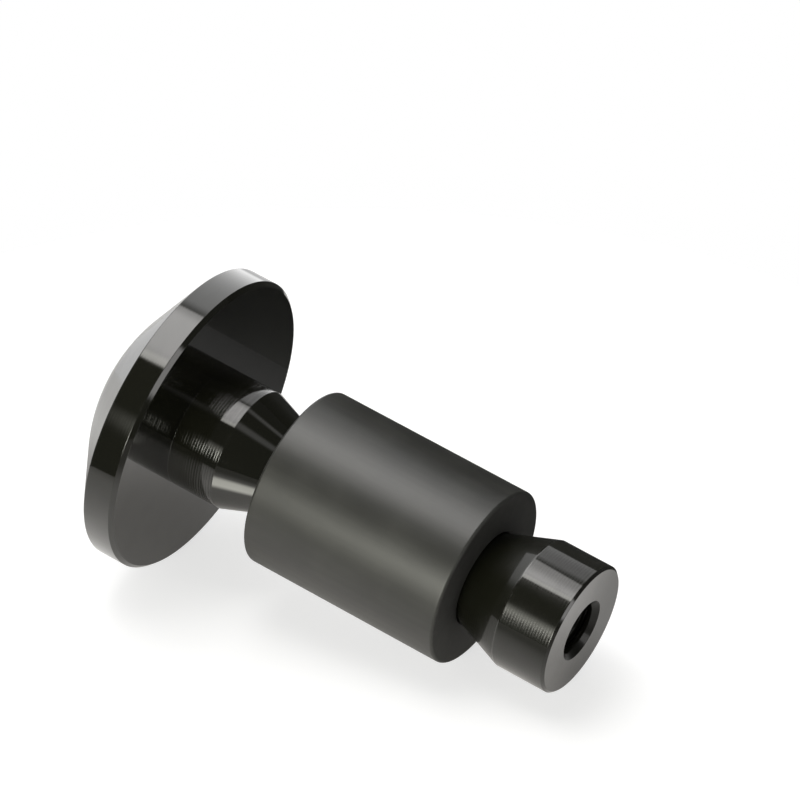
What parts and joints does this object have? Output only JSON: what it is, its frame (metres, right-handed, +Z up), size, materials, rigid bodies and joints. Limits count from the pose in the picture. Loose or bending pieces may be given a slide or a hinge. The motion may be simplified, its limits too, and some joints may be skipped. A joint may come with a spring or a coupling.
{
  "type": "bar end weight",
  "caption": "Mushroom-headed handlebar end weight: domed black cap, rubber sleeve and cone nut on a screw that draws the cones together so the sleeve grips inside the bar.",
  "frame": {"origin": "on the turning axis, in the cap's back face, which meets the end of the handlebar", "axes": "+X along the turning axis, inboard, from the cap to the nut; +Z up"},
  "size_m": [0.0506, 0.03, 0.03],
  "materials": {
    "black_anodised": "gloss black anodised over fine turning marks",
    "sleeve_rubber": "matt, lightly dusted",
    "zinc_steel": "bright zinc plate"
  },
  "bodies": {
    "cap": {"end_cap": "black_anodised", "rubber_sleeve": "sleeve_rubber"},
    "screw": {"clamp_screw": "zinc_steel"},
    "nut": {"cone_nut": "black_anodised"}
  },
  "joints": [
    {"name": "screw_turn", "type": "hinge", "parent": "cap", "child": "screw", "pos_m": [0, 0, 0], "axis": [1, 0, 0], "range_deg": [0, 1080]},
    {"name": "nut_draw", "type": "slide", "parent": "cap", "child": "nut", "axis": [-1, 0, 0], "range_m": [0, 0.003], "deforming": ["rubber_sleeve"]}
  ],
  "couplings": [
    {"joint": "nut_draw", "follows": "screw_turn", "m_per_rad": 0.00015915}
  ]
}
